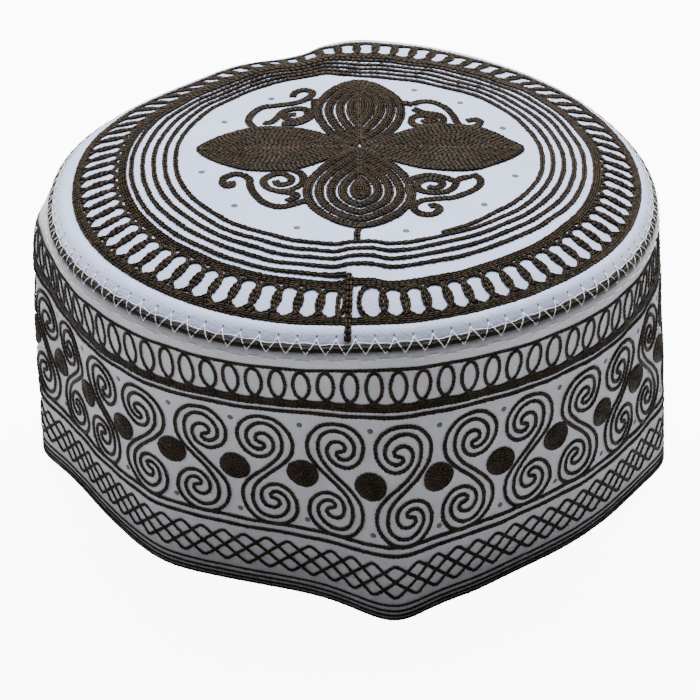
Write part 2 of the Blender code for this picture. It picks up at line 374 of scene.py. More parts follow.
def seam_face(along, offset):
    """The cloth beside the seam: offset is towards the crown's middle, or down the band."""
    along, offset = paired(along, offset)
    turn = np.radians(strip_angle(along, SEAM_HEIGHT + 0.0 * along))
    reach = CROWN_FLAT_RADIUS - np.maximum(offset, 0.0)
    on_crown = disc_face(reach * np.cos(turn), reach * np.sin(turn))
    on_band = strip_face(along, SEAM_HEIGHT + np.minimum(offset, 0.0))
    return np.where((offset >= 0.0)[:, None], on_crown, on_band)


def face_normals(face, a, b):
    """Unit normals of a face, by small steps."""
    along_a = face(a + NORMAL_STEP, b) - face(a - NORMAL_STEP, b)
    along_b = face(a, b + NORMAL_STEP) - face(a, b - NORMAL_STEP)
    return unit(np.cross(along_a, along_b))


# Drawn lines of the ornament

# Points between two given ones of a smooth line, and those of one loop
LINE_STEPS = 8
LOOP_SAMPLES = 20
# Step between the points of the crown's rings, in degrees
ANGLE_STEP = 0.5


def smooth_line(points):
    """A smooth line through points."""
    points = np.asarray(points, float)
    points = np.vstack((2 * points[0] - points[1], points, 2 * points[-1] - points[-2]))
    share = np.linspace(0.0, 1.0, LINE_STEPS, endpoint=False)[:, None]
    pieces = []
    for before, start, end, after in zip(points, points[1:], points[2:], points[3:]):
        a = 2.0 * start
        b = end - before
        c = 2.0 * before - 5.0 * start + 4.0 * end - after
        d = -before + 3.0 * start - 3.0 * end + after
        pieces.append(0.5 * (a + b * share + c * share ** 2 + d * share ** 3))
    pieces.append(points[-2:-1])
    return np.vstack(pieces)


def offset_line(line, distance):
    """The line drawn beside another, on its left."""
    ahead = np.gradient(line, axis=0)
    ahead = ahead / np.maximum(np.linalg.norm(ahead, axis=1), 1e-9)[:, None]
    return line + distance * np.stack((-ahead[:, 1], ahead[:, 0]), -1)


def by_direction(angles, right, back, left, front):
    """A value that changes smoothly between four given ones around the crown."""
    turn = np.radians(angles)
    along = np.cos(turn)
    across = np.sin(turn)
    value = np.where(along > 0.0, right, left) * along ** 2
    return value + np.where(across > 0.0, back, front) * across ** 2


def heading(degrees):
    """Unit direction at an angle on the crown's cloth."""
    turn = math.radians(degrees)
    return np.array((math.cos(turn), math.sin(turn)))


def polar_line(angles, reaches):
    """Points on the crown's cloth at angles in degrees and distances from its middle."""
    turn = np.radians(angles)
    return np.stack((reaches * np.cos(turn), reaches * np.sin(turn)), -1)


def strip_places(step):
    """Places along the whole strip, with its end."""
    return np.arange(0.0, STRIP_LENGTH + 0.5 * step, step)


# Crown: rings

# Reach of the first ring and the step to the next: right, back, left, front
RING_FIRST = (53.4, 53.0, 53.1, 52.7)
RING_STEP = (3.15, 3.05, 3.15, 3.55)
RING_RISE_START = 285.0
RING_RISE_END = 355.0
RING_START = 296.0
RING_START_REACH = 51.4
# Angle at which the fifth ring goes over into the tail, counted on from the first
RING_END = 2065.0
# Steps from the first ring to the last
RING_LAST = 4.0
# The tail: its direction, how it leaves the ring, in degrees and mm, and its reaches
TAIL_ANGLE = 267.8
TAIL_LEAD = 4.0
TAIL_BEND = (1.0, 4.0)
TAIL_REACHES = (78.0, 83.0, 87.4)
# The cloth is pulled askew at the back: shift of the first ring, less for each next one
PULL_ANGLES = (55.0, 75.0, 88.0, 96.0, 101.0, 115.0, 135.0, 160.0, 185.0)
PULL_SHIFTS = (0.0, -0.6, -1.1, 0.6, 2.4, 2.6, 1.9, 0.7, 0.0)
PULL_RINGS = 5.0


def ring_line():
    """The spiral of rings: each turn steps outwards beside the front crease."""
    angles = np.arange(RING_START, RING_END, ANGLE_STEP)
    turns = np.floor((angles - RING_RISE_START) / 360.0)
    share = (angles - RING_RISE_START - turns * 360.0) / (RING_RISE_END - RING_RISE_START)
    share = np.clip(share, 0.0, 1.0)
    share = share * share * (3.0 - 2.0 * share)
    step = by_direction(angles, *RING_STEP)
    ring = turns - 1.0 + share
    reaches = by_direction(angles, *RING_FIRST) + step * ring
    pull = np.interp(angles % 360.0, PULL_ANGLES, PULL_SHIFTS)
    reaches = reaches + pull * np.clip(1.0 - ring / PULL_RINGS, 0.0, 1.0)
    reaches = np.where(angles < RING_RISE_END, np.maximum(reaches, RING_START_REACH), reaches)
    return polar_line(angles, reaches)


def tail_line():
    """From the last ring, across the ladder and down to the seam."""
    end = by_direction(RING_END, *RING_FIRST) + RING_LAST * by_direction(RING_END, *RING_STEP)
    last = polar_line(np.array((RING_END - TAIL_LEAD, RING_END)), np.array((end, end)))
    reaches = [end + bend for bend in TAIL_BEND] + list(TAIL_REACHES)
    radial = [heading(TAIL_ANGLE) * reach for reach in reaches]
    return smooth_line(np.vstack((last, radial)))


# Crown: ladder ring

# Reaches of the ladder's two inner and two outer rows
LADDER_ROWS = (
    # right, back, left, front
    (69.3, 67.4, 67.7, 69.9),
    (70.6, 68.7, 69.0, 71.2),
    (82.3, 81.7, 80.7, 81.6),
    (83.4, 82.7, 81.8, 82.7),
)
# The rows' open turn, and the ovals: the first one's angle, number and step, all in degrees
LADDER_GAP_START = 268.3
LADDER_TURN = 359.01
LADDER_FIRST_OVAL = 272.5
LADDER_OVALS = 81
LADDER_STEP = 4.3975
LADDER_OVAL_INNER = (71.2, 69.4, 69.8, 71.8)
LADDER_OVAL_OUTER = (83.0, 82.3, 81.2, 82.2)
LADDER_HALF_WIDTH = 3.85
LOOP_SHAPE = 5.0
# The narrow oval beside the tail
NARROW_OVAL_ANGLE = 266.8
NARROW_OVAL_HALF_ANGLE = 1.2
NARROW_OVAL_SAMPLES = 25


def loop_row(step, half_width, count):
    """A row of upright ovals drawn as one looping line: along, and height from -1 to 1."""
    turn = np.linspace(-math.pi, math.pi, LOOP_SAMPLES, endpoint=False)
    forward = 0.5 * step * np.sign(turn) * np.abs(turn / math.pi) ** LOOP_SHAPE
    along = forward - half_width * np.sin(turn)
    starts = step * np.arange(count)[:, None]
    return np.stack(((along + starts).ravel(), np.tile(np.cos(turn), count)), -1)


def ladder_lines():
    """Ring rows and the ovals between them, broken at the tail."""
    lines = []
    turn = np.arange(LADDER_GAP_START, LADDER_GAP_START + LADDER_TURN, ANGLE_STEP)
    for row in LADDER_ROWS:
        lines.append(polar_line(turn, by_direction(turn, *row)))
    millimetres = math.radians(1.0) * 0.5 * (LADDER_OVAL_INNER[0] + LADDER_OVAL_OUTER[0])
    row = loop_row(LADDER_STEP * millimetres, LADDER_HALF_WIDTH, LADDER_OVALS)
    circle = np.linspace(0.0, 2.0 * math.pi, NARROW_OVAL_SAMPLES)
    narrow = NARROW_OVAL_ANGLE + NARROW_OVAL_HALF_ANGLE * np.sin(circle)
    for angles, heights in (
        (LADDER_FIRST_OVAL + row[:, 0] / millimetres, row[:, 1]),
        (narrow, np.cos(circle)),
    ):
        inner = by_direction(angles, *LADDER_OVAL_INNER)
        outer = by_direction(angles, *LADDER_OVAL_OUTER)
        lines.append(polar_line(angles, 0.5 * (inner + outer) + 0.5 * (inner - outer) * heights))
    return lines


# Crown: flower

FLOWER_Y = 4.4
TENDRIL_SHIFT_Y = -0.6
ROW_SPACING = 1.32
# Shares of a petal's length where its outline starts and ends, and points of a half outline
PETAL_ROOT = 0.03
PETAL_TIP = 0.9999
PETAL_SAMPLES = 160
PETALS = (
    # name, direction, length, half width, skew, roundness, rows followed by a gap
    ("petal_right", 0.6, 48.7, 14.7, 1.15, 0.75, ()),
    ("petal_back", 90.0, 44.2, 13.7, 1.10, 0.55, (1, 3, 5)),
    ("petal_left", 180.0, 47.8, 14.5, 1.15, 0.75, ()),
    ("petal_front", 270.0, 48.6, 16.1, 1.20, 0.58, (1, 3, 5, 7)),
)
# Width of a gap from the root to the tip of a petal, on its left and right side, in mm
GAP_PLACES = (0.0, 0.12, 0.25, 0.5, 0.75, 0.88, 1.0)
GAP_WIDTHS = {
    "petal_back": ((0.0, 0.3, 0.6, 0.65, 0.5, 0.3, 0.0), (0.0, 0.5, 0.65, 0.4, 0.1, 0.0, 0.0)),
    "petal_front": ((0.0, 0.25, 0.4, 0.5, 0.7, 0.9, 1.0), (0.0, 0.4, 0.6, 0.65, 0.75, 0.9, 1.0)),
}
NO_GAPS = ((0.0,) * len(GAP_PLACES),) * 2
PETAL_MOST_ROWS = 14
PETAL_LEAST_POINTS = 4
# Middle line of a petal
AXIS_START = 3.0
AXIS_SAMPLES = 30


def petal_rows(name, direction, length, half_width, skew, roundness, gaps):
    """Leaf outlines one inside the other, with a line of bare cloth after some."""
    forward = heading(direction)
    left = np.array((-forward[1], forward[0]))
    share = 0.5 - 0.5 * np.cos(math.pi * np.linspace(PETAL_ROOT, 1.0, PETAL_SAMPLES))
    half = half_width * np.sin(math.pi * np.minimum(share, PETAL_TIP) ** skew) ** roundness
    edge = np.stack((share * length, half), -1)
    ahead = np.gradient(edge, axis=0)
    inwards = np.stack((ahead[:, 1], -ahead[:, 0]), -1) / np.linalg.norm(ahead, axis=1)[:, None]
    widths = [np.interp(share, GAP_PLACES, side)[:, None] for side in GAP_WIDTHS.get(name, NO_GAPS)]
    lines = []
    inset = ROW_SPACING / 2.0
    gap = 0
    for row in range(PETAL_MOST_ROWS):
        halves = [edge + inwards * (inset + gap * width) for width in widths]
        halves = [half[half[:, 1] > 0.0] for half in halves]
        if min(len(half) for half in halves) < PETAL_LEAST_POINTS or np.ptp(halves[0][:, 0]) < ROW_SPACING:
            break
        last = halves[0][-1, 0] - 0.5 * ROW_SPACING
        flat = np.vstack((halves[0], halves[1][::-1] * np.array((1.0, -1.0))))
        if row % 2:
            flat = flat[::-1]
        flat = flat[:, :1] * forward + flat[:, 1:] * left
        lines.append(flat + np.array((0.0, FLOWER_Y)))
        inset += ROW_SPACING
        gap += 1 if row in gaps else 0
    far = last if gaps else length - ROW_SPACING
    axis = np.linspace(AXIS_START, far, AXIS_SAMPLES)[:, None] * forward
    lines.append(axis + np.array((0.0, FLOWER_Y)))
    return lines


TENDRIL_HALF_SPACING = 0.58
# Middle lines of the tendrils and the stem, across and along the crown, in mm
TENDRILS = (
    # back left
    ((-31, 18), (-33, 25), (-30, 32), (-23.5, 34), (-17, 36), (-14, 40.5), (-16.5, 43), (-19.5, 41.5),
     (-20, 39)),
    ((-28.5, 22.5), (-26.5, 22), (-24.5, 25.5), (-22.5, 30), (-18.5, 31.5), (-15.5, 29.5), (-16, 25.5),
     (-19, 23.5), (-22, 25), (-21.5, 27.5), (-19, 27.5)),
    ((-13.5, 37), (-13.5, 30), (-14.5, 24.5), (-18.5, 21), (-23, 21.5)),
    # back right
    ((13, 33.5), (16, 32.5)),
    ((16, 32.5), (18.5, 34.5), (22.5, 34), (26, 30.5), (28, 25.5), (29, 21), (31, 18), (34.5, 18.5),
     (36, 21.5), (34.5, 23.5), (32, 22.5)),
    ((16, 30), (19, 27.5), (23, 26.5), (25, 23.5), (24, 20), (20, 18.5), (16, 20), (15.5, 23.5),
     (17.5, 26), (21, 25), (22.5, 22.5), (20, 21.5), (19, 23)),
    # front right
    ((32.5, -10.5), (34.5, -14), (34, -18.5), (31, -22.5), (26.5, -25.5), (22, -26.5), (17, -28),
     (15, -31.5), (17, -35), (20.5, -35.5), (22.5, -32.5), (21, -30.5), (19.5, -31)),
    ((32, -12), (29, -13.5), (27.5, -15.5), (27, -18.5), (24.5, -22), (20.5, -23), (17, -21),
     (16.5, -17), (19.5, -14.5), (23, -15.5), (23.5, -18), (21.5, -20), (19.5, -19)),
    ((15, -30.5), (14.5, -24.5), (14, -18), (15, -14), (19, -12), (23.5, -13), (26.5, -15)),
    # front left
    ((-33.5, -11), (-35.5, -10.5), (-38.5, -12.5), (-39, -15.5), (-37.5, -18), (-36, -17),
     (-36.5, -15)),
    ((-33.5, -11), (-31.5, -13.5), (-31, -18.5), (-29.5, -23.5), (-27, -28), (-23, -30.5),
     (-18.5, -29.5), (-14.5, -27)),
    ((-21, -7.5), (-17, -10), (-16, -14.5), (-17, -18.5), (-21, -21.5), (-25.5, -20), (-27.5, -15.5),
     (-25.5, -12), (-22.5, -10.5), (-19.5, -13), (-20, -16.5), (-23, -17.5), (-24, -15)),
    ((-23.5, -21.5), (-19.5, -23), (-17.5, -25), (-20.5, -27.5)),
)
STEM = ((0.1, -42.5), (-0.4, -45.0), (-0.8, -47.5), (-0.8, -52.0))


def tendril_lines():
    """Twin lines of all the tendrils."""
    lines = []
    for points in TENDRILS:
        line = smooth_line(points) + np.array((0.0, TENDRIL_SHIFT_Y))
        lines += [offset_line(line, side * TENDRIL_HALF_SPACING) for side in (-1.0, 1.0)]
    return lines


# Band: rows of ornament, in mm along the strip and above the rim

EDGE_LINE = 81.1
OVAL_COUNT = 85
OVAL_FIRST = 0.9
OVAL_MIDDLE = 74.9
OVAL_HALF_WIDTH = 2.3
OVAL_HALF_HEIGHT = 5.5
THICK_LINES = (69.2, 68.6, 68.0)
SCROLL_TOP_LINE = 65.8
SCROLL_LOW_LINES = (24.4, 21.6)
HEM_LINES = (5.4, 3.6, 2.15, 0.95)

SCROLL_COUNT = 28
SCROLL_FIRST = -17.1
SCROLL_MIDDLE = 43.6
# Half of a scroll from its middle to the curl: the outer line
SCROLL_OUTER = (
    # along, up
    (-1.5, 0.0), (-4.4, 2.8), (-6.9, 6.1), (-7.8, 9.0), (-7.8, 11.8), (-6.9, 14.6), (-5.1, 17.0),
    (-2.9, 18.6), (0.0, 19.2), (2.8, 19.1), (5.2, 17.9), (7.0, 16.0), (8.1, 13.4), (8.1, 10.6),
    (7.2, 7.9), (5.4, 5.8), (3.3, 4.8), (1.2, 4.9), (-0.7, 5.9), (-2.0, 7.7), (-2.3, 9.8),
    (-1.7, 11.8), (-0.3, 13.1), (1.4, 13.2), (2.8, 12.3), (3.1, 11.0), (2.4, 10.0), (1.0, 9.9),
)
# The inner line of the same half
SCROLL_INNER = (
    # along, up
    (1.2, 0.3), (-1.0, 2.4), (-3.1, 4.9), (-4.4, 7.3), (-4.8, 9.8), (-4.7, 12.3), (-3.7, 14.7), (-1.9, 16.3),
    (0.4, 16.9), (2.5, 16.4), (4.3, 15.0), (5.4, 13.0), (5.6, 10.7), (4.8, 8.8), (3.4, 7.6), (1.9, 7.3),
    (0.8, 7.9), (0.3, 9.0), (1.0, 9.9),
)
# Coiled dots: the first one's place, size and coil, and how far they lie up and down by turns
DOT_FIRST = -7.2
DOT_SHIFT = (0.3, 0.3)
DOT_RADIUS = 4.15
DOT_SPACING = 1.0
DOT_START = 0.3
DOT_SAMPLES = 90
DOT_SWAY = 0.4

LATTICE_LOW = 7.6
LATTICE_HIGH = 18.8
LATTICE_TIPS = 85
LATTICE_STRANDS = 4
# Share of the height that rounds each tip off
LATTICE_ROUNDING = 0.03

# Steps between the points of the straight lines and of the lattice, in mm
BAND_STEP = 1.0
LATTICE_POINT_STEP = 0.5


def band_line(z):
    """A line round the band at one height."""
    along = strip_places(BAND_STEP)
    return np.stack((along, z + 0.0 * along), -1)


def oval_line():
    """The row of upright loops below the seam."""
    row = loop_row(STRIP_LENGTH / OVAL_COUNT, OVAL_HALF_WIDTH, OVAL_COUNT)
    row = np.vstack((row, row[:1] + np.array((STRIP_LENGTH, 0.0))))
    return row * np.array((1.0, OVAL_HALF_HEIGHT)) + np.array((OVAL_FIRST, OVAL_MIDDLE))


def scroll_lines():
    """Twin lines of all the scrolls: every second one is mirrored."""
    outer = np.array(SCROLL_OUTER)
    inner = np.array(SCROLL_INNER)
    whole = smooth_line(np.vstack((outer[::-1], -inner)))
    step = STRIP_LENGTH / SCROLL_COUNT
    lines = []
    for index in range(SCROLL_COUNT):
        mirror = np.array((1.0 if index % 2 == 0 else -1.0, 1.0))
        place = np.array((SCROLL_FIRST + step * index, SCROLL_MIDDLE))
        lines += [whole * mirror + place, -whole * mirror + place]
    return lines


def dot_lines():
    """Coiled dots between the scrolls, each touching the scrolls' bodies."""
    step = STRIP_LENGTH / SCROLL_COUNT
    turn = np.linspace(0.0, 2.0 * math.pi * (DOT_RADIUS / DOT_SPACING + 1.0), DOT_SAMPLES)
    reach = np.minimum(DOT_START + DOT_SPACING * turn / (2.0 * math.pi), DOT_RADIUS)
    coil = np.stack((reach * np.cos(turn), reach * np.sin(turn)), -1) + np.array(DOT_SHIFT)
    lines = []
    for index in range(SCROLL_COUNT):
        high = 1.0 if index % 2 == 1 else -1.0
        lines.append(coil + np.array((DOT_FIRST + step * index, SCROLL_MIDDLE + DOT_SWAY * high)))
    return lines


def lattice_lines():
    """Zigzag strands that cross each other, with rounded tips."""
    tip_step = STRIP_LENGTH / LATTICE_TIPS
    period = tip_step * LATTICE_STRANDS
    along = strip_places(LATTICE_POINT_STEP)
    lines = []
    for strand in range(LATTICE_STRANDS):
        phase = (along / period + strand / LATTICE_STRANDS) % 1.0
        height = 1.0 - np.abs(2.0 * phase - 1.0)
        height = np.clip(height, LATTICE_ROUNDING, 1.0 - LATTICE_ROUNDING)
        lines.append(np.stack((along, LATTICE_LOW + (LATTICE_HIGH - LATTICE_LOW) * height), -1))
    return lines


# Small eyelets: places and radii in mm

CROWN_EYELET_RADIUS = 1.0
BAND_EYELET_RADIUS = 0.85
# Needle holes at the zigzag's upper tips
NEEDLE_RADIUS = 0.25
NEEDLE_SHIFT = 0.5
# Distance from the crown's middle, and angles
CROWN_EYELET_REACH = 46.3
CROWN_EYELET_ANGLES = (23.0, 49.0, 69.0, 125.0, 150.0, 192.0, 221.0, 248.0, 286.0, 319.0, 345.0)
BAND_EYELETS = (
    # shift along, height
    (0.3, 61.2),
    (0.9, 27.7),
)


# Seam stitches, in mm along the strip and across the seam

ZIGZAG_COUNT = 106
ZIGZAG_HIGH = 1.3
ZIGZAG_LOW = -1.7
RUNNING_OFFSETS = (-3.1, -3.5)
RUNNING_STEP = 4.3


def zigzag_line():
    """Corners of the zigzag that crosses the seam."""
    index = np.arange(2 * ZIGZAG_COUNT + 1)
    along = index * STRIP_LENGTH / (2 * ZIGZAG_COUNT)
    return np.stack((along, np.where(index % 2 == 0, ZIGZAG_HIGH, ZIGZAG_LOW)), -1)


# Meshes

# Cloth, in mm
CLOTH = 2.0
BAND_COLUMNS = 720
BAND_LEVELS = 60
LINING_LEVELS = 12
CROWN_COLUMNS = 300
CROWN_RINGS = 46
CROWN_RING_POWER = 1.25
LINING_RINGS = 12
# Where the linings start below the seam, and where the crown's ends round its middle
BAND_LINING_DROP = 1.5
CROWN_LINING_DROP = 4.0
CROWN_LINING_MIDDLE = 6.0
# Rounded rim: height and inset from the outer face
RIM_ROUNDING = ((0.2, 0.25), (0.0, 0.7), (0.0, 1.3), (0.2, 1.75), (0.7, 2.0))
RIM_START = 0.7
# How both walls turn in and down at the seam, and how far they stop short of it
MITRE_IN = 1.7
BAND_MITRE_DOWN = 0.1
CROWN_MITRE_DOWN = 2.0
SEAM_GAP = 0.15
BAND_SEAM_GAP = 1.3

# One link of a chain stitch, in its lengths and widths: two plies, each a spindle
LINK_PLY = (
    # along, across, height, half thickness
    (-0.16, 0.10, 0.12, 0.0),
    (0.20, 0.24, 0.22, 0.27),
    (0.88, 0.25, 0.30, 0.28),
    (1.24, 0.08, 0.33, 0.0),
)
PLY_FLATNESS = 0.8
PLY_SIDES = 4
# Spacing and least number of the points that a line's true length is taken from
DENSE_STEP = 0.25
DENSE_LEAST = 4
# Uneven hand of the maker, as shares of a stitch's width
JITTER_SIDE = 0.05
JITTER_WIDTH = 0.07
JITTER_HEIGHT = 0.05

# Chain pitch and width, in mm
PETAL_PITCH = 1.4
PETAL_WIDTH = 1.5
RING_PITCH = 1.75
RING_WIDTH = 1.5
LADDER_PITCH = 1.6
LADDER_WIDTH = 1.42
TAIL_WIDTH = 1.9
TENDRIL_WIDTH = 1.25
BAND_PITCH = 1.25
BAND_WIDTH = 1.18
OVAL_WIDTH = 1.05
LATTICE_WIDTH = 1.0
HEM_WIDTH = 0.8

# Dark cord and white threads of the seam, in mm; waves are a reach and a rate for each mm
SEAM_STEP = 2.0
SEAM_RADIUS = 0.85
SEAM_ROW = -0.55
SEAM_ROW_WAVES = ((0.1, 1.7), (0.08, 0.61))
SEAM_LIFT = 0.1
SEAM_LIFT_WAVES = ((0.06, 0.83),)
THREAD_RADIUS = 0.13
THREAD_SIDES = 6
THREAD_STEP = 0.7
WHITE_LINE_OFFSET = 0.5
WHITE_LINE_WAVES = ((0.12, 0.9), (0.1, 0.37))
WHITE_LINE_LIFT = 0.25
ZIGZAG_SAMPLES = 7
ZIGZAG_LIFT = 0.95
ZIGZAG_LIFT_POWER = 0.6
ZIGZAG_SINK = 0.1
ZIGZAG_TIP = 0.02
# A dash of the running stitch: shares of its step, the length of its slopes, and its lifts
DASH_MIDDLE = 0.5
DASH_END = 0.72
DASH_SLOPE = 0.3
DASH_LIFTS = (-0.1, 0.2, 0.25, 0.2, -0.1)

# Rings of an eyelet: height above the cloth in mm, and share of its radius
EYELET_RINGS = ((-0.1, 1.1), (0.06, 1.0), (0.08, 0.6))
EYELET_MIDDLE = 0.05
EYELET_SIDES = 8

# Directions that no thread and no eyelet follows, from which their sides are set out
THREAD_SIDE = (0.3, 0.2, 0.93)
EYELET_SIDE = (0.1, 0.98, 0.17)


def add_mesh(name, points, quads=(), triangles=(), smooth=True):
    """A mesh object from arrays in mm."""
    quads = np.asarray(quads, np.int32).reshape(-1, 4)
    triangles = np.asarray(triangles, np.int32).reshape(-1, 3)
    corners = np.concatenate((quads.ravel(), triangles.ravel()))
    starts = np.concatenate((4 * np.arange(len(quads)), 4 * len(quads) + 3 * np.arange(len(triangles))))
    mesh = bpy.data.meshes.new(name)
    mesh.vertices.add(len(points))
    mesh.vertices.foreach_set("co", (np.asarray(points, float) * MM).ravel())
    mesh.loops.add(len(corners))
    mesh.loops.foreach_set("vertex_index", corners.astype(np.int32))
    mesh.polygons.add(len(starts))
    mesh.polygons.foreach_set("loop_start", starts.astype(np.int32))
    mesh.update(calc_edges=True)
    mesh.validate()
    mesh.polygons.foreach_set("use_smooth", np.full(len(mesh.polygons), smooth))
    piece = bpy.data.objects.new(name, mesh)
    bpy.context.scene.collection.objects.link(piece)
    return piece


def ring_quads(first, second, count):
    """Faces between two closed rings of points that start at given indices."""
    index = np.arange(count)
    ahead = (index + 1) % count
    return np.stack((first + index, first + ahead, second + ahead, second + index), -1)


def ring_triangles(first, second, count):
    """The faces between two rings, cut into triangles."""
    quads = ring_quads(first, second, count)
    return [quads[:, [0, 1, 2]], quads[:, [0, 2, 3]]]


def fan(tip, first, count, forward=True):
    """Triangles between one point and a closed ring of points."""
    index = np.arange(count)
    ahead = (index + 1) % count
    corners = (index, ahead) if forward else (ahead, index)
    return np.stack((tip + 0 * index, first + corners[0], first + corners[1]), -1)


def finish_piece(piece, material, nodes=()):
    """Give a piece its material and body, and hide the CAD nodes that it stands for."""
    piece.data.materials.append(material)
    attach(piece, "root")
    if nodes:
        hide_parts(*nodes)


def band_shell():
    """Rings of points round the band: up the outer face, down the lining, round the rim."""
    along = np.arange(BAND_COLUMNS) * STRIP_LENGTH / BAND_COLUMNS
    flat = np.zeros(BAND_COLUMNS)
    rings = []
    top = SEAM_HEIGHT - BAND_SEAM_GAP
    for z in np.linspace(RIM_START, top, BAND_LEVELS):
        rings.append(strip_face(along, z + flat))
    outer = rings[-1]
    rings.append(outer - outward_of(outer) * MITRE_IN - np.array((0.0, 0.0, BAND_MITRE_DOWN)))
    for z in np.linspace(top - BAND_MITRE_DOWN - BAND_LINING_DROP, RIM_START, LINING_LEVELS):
        face = band_face(strip_angle(along, z + flat), z + flat)
        normals = face_normals(lambda a, b: band_face(strip_angle(a, b), b), along, z + flat)
        normals[:, 2] = 0.0
        rings.append(face - unit(normals) * CLOTH)
    low = band_face(strip_angle(along, RIM_START + flat), RIM_START + flat)
    normals = (low - rings[-1]) / CLOTH
    for z, inset in RIM_ROUNDING[-2::-1]:
        ring = low - normals * inset
        ring[:, 2] = z
        rings.append(ring)
    return rings


def crown_shell():
    """Rings of points of the crown: out along the outer face and back along the lining."""
    turn = 2.0 * math.pi * np.arange(CROWN_COLUMNS) / CROWN_COLUMNS
    rings = []
    share = np.linspace(0.0, 1.0, CROWN_RINGS + 1)[1:]
    share = 1.0 - (1.0 - share) ** CROWN_RING_POWER
    edge = CROWN_FLAT_RADIUS - SEAM_GAP
    for reach in share * edge:
        rings.append(disc_face(reach * np.cos(turn), reach * np.sin(turn)))
    outer = rings[-1]
    rings.append(outer - outward_of(outer) * MITRE_IN - np.array((0.0, 0.0, CROWN_MITRE_DOWN)))
    for reach in np.linspace(edge - CROWN_LINING_DROP, CROWN_LINING_MIDDLE, LINING_RINGS):
        x = reach * np.cos(turn)
        y = reach * np.sin(turn)
        normals = face_normals(crown_face, x, y)
        rings.append(crown_face(x, y) - normals * CLOTH)
    return rings


def shell_piece(name, rings, closed):
    """One watertight shell from rings; the end rings close on each other or on a middle point."""
    count = len(rings[0])
    points = np.vstack(rings)
    quads = [ring_quads(k * count, (k + 1) * count, count) for k in range(len(rings) - 1)]
    last = (len(rings) - 1) * count
    triangles = []
    if closed:
        quads.append(ring_quads(last, 0, count))
    else:
        tip = len(points)
        under = crown_face(np.zeros(1), np.zeros(1)) - np.array((0.0, 0.0, CLOTH))
        points = np.vstack((points, disc_face(0.0, 0.0), under))
        triangles = np.vstack((fan(tip, 0, count, False), fan(tip + 1, last, count)))
    return add_mesh(name, points, np.vstack(quads), triangles)


def link_frames(face, line, pitch):
    """Starts, ends and normals of equal links along a line of the cloth pattern."""
    passed = passed_lengths(line)
    dense = np.linspace(0.0, passed[-1], max(int(passed[-1] / DENSE_STEP), DENSE_LEAST))
    flat = points_at(dense, passed, line)
    points = face(flat[:, 0], flat[:, 1])
    passed = passed_lengths(points)
    count = max(int(round(passed[-1] / pitch)), 1)
    ends = np.linspace(0.0, passed[-1], count + 1)
    knots = points_at(ends, passed, points)
    flat = points_at(0.5 * (ends[1:] + ends[:-1]), passed, flat)
    return knots[:-1], knots[1:], face_normals(face, flat[:, 0], flat[:, 1])


def link_template():
    """Points of a link in its own lengths and widths, and its faces."""
    points = []
    faces = []
    for side in (-1.0, 1.0):
        base = len(points)
        for along, across, height, half in LINK_PLY:
            if half == 0.0:
                points.append((along, side * across, height))
            else:
                tall = half * PLY_FLATNESS
                corners = ((half, 0.0), (0.0, tall), (-half, 0.0), (0.0, -tall))
                points += [(along, side * across + a, height + b) for a, b in corners]
        for k in range(PLY_SIDES):
            near = base + 1 + k
            near_ahead = base + 1 + (k + 1) % PLY_SIDES
            far = near + PLY_SIDES
            far_ahead = near_ahead + PLY_SIDES
            faces += [(base, near_ahead, near), (near, near_ahead, far_ahead), (near, far_ahead, far)]
            faces.append((far, far_ahead, len(points) - 1))
    return np.array(points), np.array(faces)


LINK_POINTS, LINK_FACES = link_template()


def chain_arrays(face, lines, pitch, width, seed):
    """Points and triangles of chain stitches along lines."""
    frames = [link_frames(face, np.asarray(line, float), pitch) for line in lines]
    starts, ends, normals = (np.vstack(parts) for parts in zip(*frames))
    noise = np.random.default_rng(seed).uniform(-1.0, 1.0, (len(starts), 3))
    ahead = ends - starts
    lengths = np.linalg.norm(ahead, axis=1)
    ahead = ahead / lengths[:, None]
    sides = unit(np.cross(normals, ahead))
    ups = np.cross(ahead, sides)
    widths = width * (1.0 + JITTER_WIDTH * noise[:, 0])
    shift = width * (JITTER_SIDE * noise[:, 1, None] * sides + JITTER_HEIGHT * noise[:, 2, None] * ups)
    along, across, height = LINK_POINTS.T
    points = (starts + shift)[:, None, :]
    points = points + ahead[:, None, :] * (lengths[:, None] * along)[:, :, None]
    points = points + sides[:, None, :] * (widths[:, None] * across)[:, :, None]
    points = points + ups[:, None, :] * (widths[:, None] * height)[:, :, None]
    firsts = len(LINK_POINTS) * np.arange(len(starts))
    triangles = LINK_FACES[None] + firsts[:, None, None]
    return points.reshape(-1, 3), triangles.reshape(-1, 3)


def tube_arrays(paths, radius):
    """Points and triangles of plain threads along paths in space, with pointed ends."""
    points = []
    triangles = []
    base = 0
    sides = THREAD_SIDES
    turn = 2.0 * math.pi * np.arange(sides) / sides
    for path in paths:
        ahead = unit(np.gradient(path, axis=0))
        side = unit(np.cross(ahead, np.array(THREAD_SIDE)))
        up = np.cross(side, ahead)
        rings = path[:, None, :] + radius * (
            np.cos(turn)[None, :, None] * side[:, None, :] + np.sin(turn)[None, :, None] * up[:, None, :]
        )
        count = len(path)
        points += [rings.reshape(-1, 3), path[:1] - ahead[:1] * radius, path[-1:] + ahead[-1:] * radius]
        for k in range(count - 1):
            triangles += ring_triangles(base + k * sides, base + (k + 1) * sides, sides)
        tip = base + count * sides
        triangles += [fan(tip, base, sides, False), fan(tip + 1, tip - sides, sides)]
        base = tip + 2
    return np.vstack(points), np.vstack(triangles)


